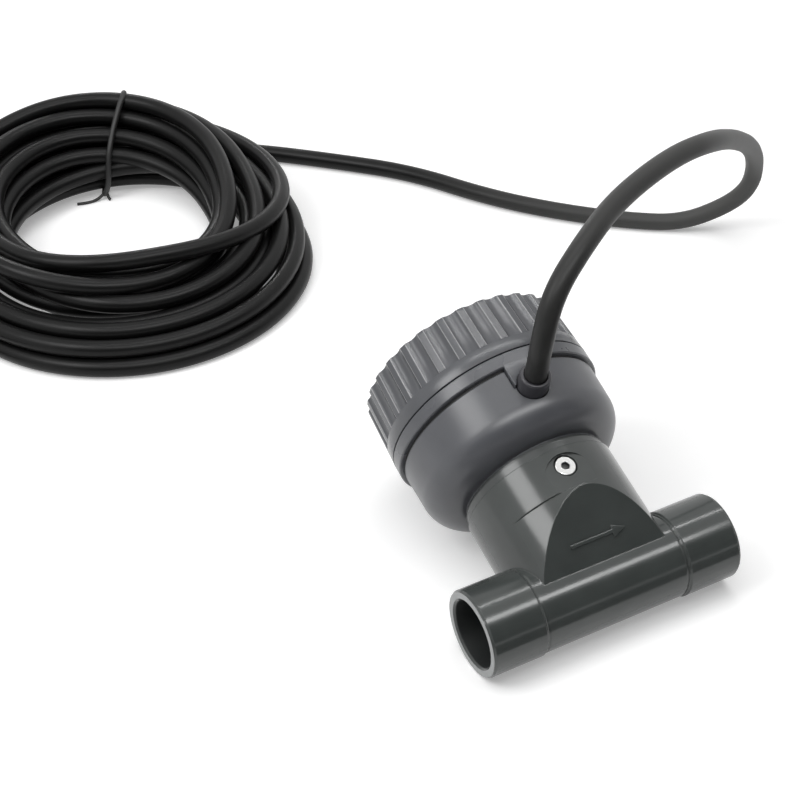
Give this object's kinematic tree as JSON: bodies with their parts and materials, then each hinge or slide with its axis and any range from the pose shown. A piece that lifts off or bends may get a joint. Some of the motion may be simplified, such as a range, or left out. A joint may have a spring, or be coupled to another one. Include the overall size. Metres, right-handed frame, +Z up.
{
  "type": "digital liquid flow meter",
  "caption": "Inline paddle-wheel flow meter: round display head with fluted screw cap, plugged into a pipe socket tee, with a coiled cable.",
  "frame": {"origin": "on the table under the middle of the meter, without its cable", "axes": "+X along the pipe towards the outlet, +Y from the tee towards the display head, +Z up"},
  "size_m": [0.462, 0.4333, 0.1342],
  "materials": {
    "flow_tee": "glossy moulded",
    "lock_screw": "bright stainless",
    "lower_housing": "satin moulded",
    "plug_o_rings": "matte",
    "rotor_axle": "ground",
    "paddle_wheel": "moulded",
    "rotor_magnets": "plated",
    "rotor_bushes": "turned",
    "hall_board": "solder mask",
    "hall_wires": "insulated",
    "collar_ring": "satin moulded",
    "housing_gasket": "matte",
    "housing_screws": "stainless",
    "screw_cap": "satin moulded",
    "window": "clear polished",
    "window_seal": "matte",
    "main_board": "solder mask",
    "board_screws": "stainless",
    "board_components": "moulded",
    "terminal_block": "moulded",
    "lcd_frame": "moulded",
    "lcd_glass": "polished",
    "faceplate": "satin",
    "tact_switches": "moulded",
    "set_button": "matte",
    "up_button": "matte",
    "down_button": "matte",
    "cable_gland": "satin moulded",
    "cable_cores": "insulated",
    "cable": "matte sheath",
    "cable_coil": "matte sheath",
    "coil_tie": "plastic-coated wire",
    "cable_tail": "matte sheath",
    "cable_end_cores": "insulated"
  },
  "bodies": {
    "meter_body": {"flow_tee": "flow_tee", "lock_screw": "lock_screw", "lower_housing": "lower_housing", "plug_o_rings": "plug_o_rings", "rotor_axle": "rotor_axle", "hall_board": "hall_board", "hall_wires": "hall_wires", "collar_ring": "collar_ring", "housing_gasket": "housing_gasket", "housing_screws": "housing_screws", "main_board": "main_board", "board_screws": "board_screws", "board_components": "board_components", "terminal_block": "terminal_block", "lcd_frame": "lcd_frame", "lcd_glass": "lcd_glass", "faceplate": "faceplate", "tact_switches": "tact_switches", "cable_gland": "cable_gland", "cable_cores": "cable_cores", "cable": "cable", "cable_coil": "cable_coil", "coil_tie": "coil_tie", "cable_tail": "cable_tail", "cable_end_cores": "cable_end_cores"},
    "window_body": {"window": "window", "window_seal": "window_seal"},
    "cap_body": {"screw_cap": "screw_cap"},
    "rotor": {"paddle_wheel": "paddle_wheel", "rotor_magnets": "rotor_magnets", "rotor_bushes": "rotor_bushes"},
    "set_key": {"set_button": "set_button"},
    "up_key": {"up_button": "up_button"},
    "down_key": {"down_button": "down_button"}
  },
  "joints": [
    {"name": "cap_lift", "type": "slide", "parent": "meter_body", "child": "window_body", "axis": [0, 0.9287, 0.3709], "range_m": [0, 0.0075]},
    {"name": "cap_turn", "type": "hinge", "parent": "window_body", "child": "cap_body", "pos_m": [0, 0.03649, 0.04963], "axis": [0, 0.9287, 0.3709], "range_deg": [0, 1080]},
    {"name": "rotor_spin", "type": "hinge", "parent": "meter_body", "child": "rotor", "pos_m": [0, -0.03502, 0.02107], "axis": [0, 0.3709, -0.9287], "continuous": true},
    {"name": "set_press", "type": "slide", "parent": "meter_body", "child": "set_key", "axis": [0, -0.9287, -0.3709], "range_m": [0, 0.0005], "stiffness_N_per_m": 1500, "springref_m": -0.0005},
    {"name": "up_press", "type": "slide", "parent": "meter_body", "child": "up_key", "axis": [0, -0.9287, -0.3709], "range_m": [0, 0.0005], "stiffness_N_per_m": 1500, "springref_m": -0.0005},
    {"name": "down_press", "type": "slide", "parent": "meter_body", "child": "down_key", "axis": [0, -0.9287, -0.3709], "range_m": [0, 0.0005], "stiffness_N_per_m": 1500, "springref_m": -0.0005}
  ],
  "couplings": [
    {"joint": "cap_lift", "follows": "cap_turn", "m_per_rad": 0.00039788}
  ]
}
